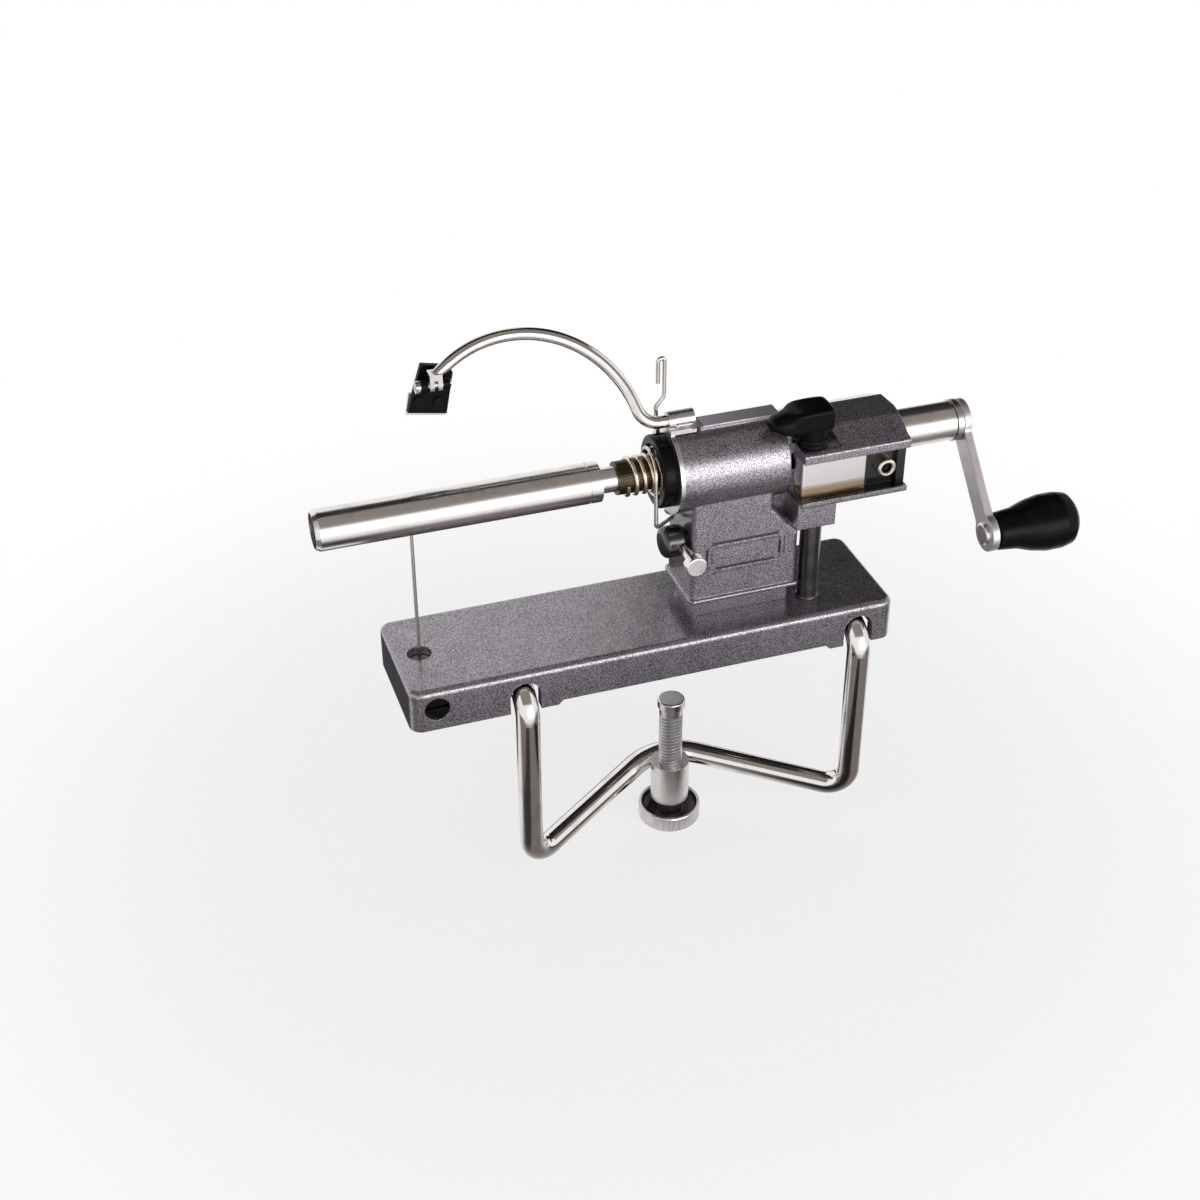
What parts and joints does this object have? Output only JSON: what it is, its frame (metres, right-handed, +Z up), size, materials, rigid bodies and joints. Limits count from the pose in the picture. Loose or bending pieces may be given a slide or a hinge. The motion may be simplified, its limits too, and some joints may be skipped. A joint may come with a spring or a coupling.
{
  "type": "apple peeler",
  "caption": "Hand-cranked apple peeler, corer and slicer with a screw-fed spindle, a sprung peeling arm and a clamp for the edge of a table.",
  "frame": {"origin": "middle of the base's underside, on the table top, where the clamp holds the part", "axes": "+X along the spindle towards the crank, -Y the front edge of the table, +Z up"},
  "size_m": [0.2711, 0.0631, 0.2087],
  "materials": {
    "hammered_paint": "glossy dark grey hammered paint",
    "chrome_rod": "polished chrome",
    "chrome_tube": "polished chrome tube",
    "bright_steel": "bright rolled steel",
    "nickel_bar": "satin nickel",
    "zinc_steel": "zinc-plated steel",
    "screw_core": "oiled steel",
    "thread_ridge": "oiled steel with a golden sheen",
    "spring_wire": "drawn steel wire",
    "sintered_bush": "sintered bronze",
    "dark_screw": "blackened steel",
    "black_plate": "black painted steel",
    "black_cap": "glossy black",
    "black_knob": "glossy black"
  },
  "bodies": {
    "frame": {"base": "hammered_paint", "head_casting": "hammered_paint", "head_bolts": "zinc_steel", "support_post": "dark_screw", "cover_plate": "bright_steel", "cover_screw": "zinc_steel", "front_bush": "sintered_bush", "rear_bush": "sintered_bush", "arm_bracket": "bright_steel", "spring_cap": "black_cap", "arm_spring": "spring_wire", "spring_anchor": "zinc_steel", "wire_holder": "zinc_steel", "slicing_wire": "spring_wire", "wire_set_screw": "dark_screw", "clamp_frame": "chrome_rod", "clamp_sleeve": "nickel_bar"},
    "side_screw": {"side_screw": "dark_screw", "side_screw_pin": "chrome_rod"},
    "feed": {"thrust_ring": "zinc_steel"},
    "spindle": {"coring_tube": "chrome_tube", "lead_screw": "screw_core", "feed_thread": "thread_ridge", "crank_arm": "nickel_bar", "knob_axle": "nickel_bar"},
    "crank_knob": {"crank_knob": "black_knob"},
    "half_nut": {"half_nut": "sintered_bush"},
    "lever": {"release_lever": "black_knob", "lever_shaft": "zinc_steel"},
    "arm": {"peeling_arm": "chrome_rod", "holder_pin": "zinc_steel"},
    "blade_holder": {"blade_holder": "black_plate", "peeling_blade": "bright_steel", "blade_rivets": "zinc_steel"},
    "clamp_pad": {"clamp_pad": "nickel_bar"},
    "clamp_screw": {"clamp_screw": "zinc_steel", "clamp_wheel": "nickel_bar"}
  },
  "joints": [
    {"name": "feed_slide", "type": "slide", "parent": "frame", "child": "feed", "axis": [1, 0, 0], "range_m": [-0.0245, 0.044]},
    {"name": "spindle_turn", "type": "hinge", "parent": "feed", "child": "spindle", "pos_m": [0, 0, 0.0733], "axis": [1, 0, 0], "range_deg": [-2845, 5109]},
    {"name": "knob_turn", "type": "hinge", "parent": "spindle", "child": "crank_knob", "pos_m": [0.1249, -0.02899, 0.04155], "axis": [1, 0, 0], "continuous": true},
    {"name": "lever_turn", "type": "hinge", "parent": "frame", "child": "lever", "pos_m": [0.059, -0.0119, 0.08], "axis": [0, 0, 1], "range_deg": [0, 90]},
    {"name": "half_nut_slide", "type": "slide", "parent": "frame", "child": "half_nut", "axis": [0, 1, 0], "range_m": [-0.002, 0]},
    {"name": "arm_swing", "type": "hinge", "parent": "frame", "child": "arm", "pos_m": [0, 0, 0.0924], "axis": [1, 0, 0], "range_deg": [-70, 80]},
    {"name": "holder_tilt", "type": "hinge", "parent": "arm", "child": "blade_holder", "pos_m": [-0.067, 0.0149, 0.1119], "axis": [1, 0, 0], "range_deg": [-12, 12]},
    {"name": "clamp_slide", "type": "slide", "parent": "frame", "child": "clamp_pad", "axis": [0, 0, 1], "range_m": [-0.02, 0.0027]},
    {"name": "clamp_screw_turn", "type": "hinge", "parent": "clamp_pad", "child": "clamp_screw", "pos_m": [0.0135, 0, -0.06], "axis": [0, 0, 1], "range_deg": [-4801, 649]},
    {"name": "side_screw_turn", "type": "hinge", "parent": "frame", "child": "side_screw", "pos_m": [0.011, -0.004, 0.0462], "axis": [1, 0, 0], "range_deg": [-40, 0]}
  ],
  "couplings": [
    {"joint": "feed_slide", "follows": "spindle_turn", "m_per_rad": 0.00049338},
    {"joint": "half_nut_slide", "follows": "lever_turn", "m_per_rad": -0.0012732},
    {"joint": "clamp_screw_turn", "follows": "clamp_slide", "rad_per_m": 4188.8}
  ]
}
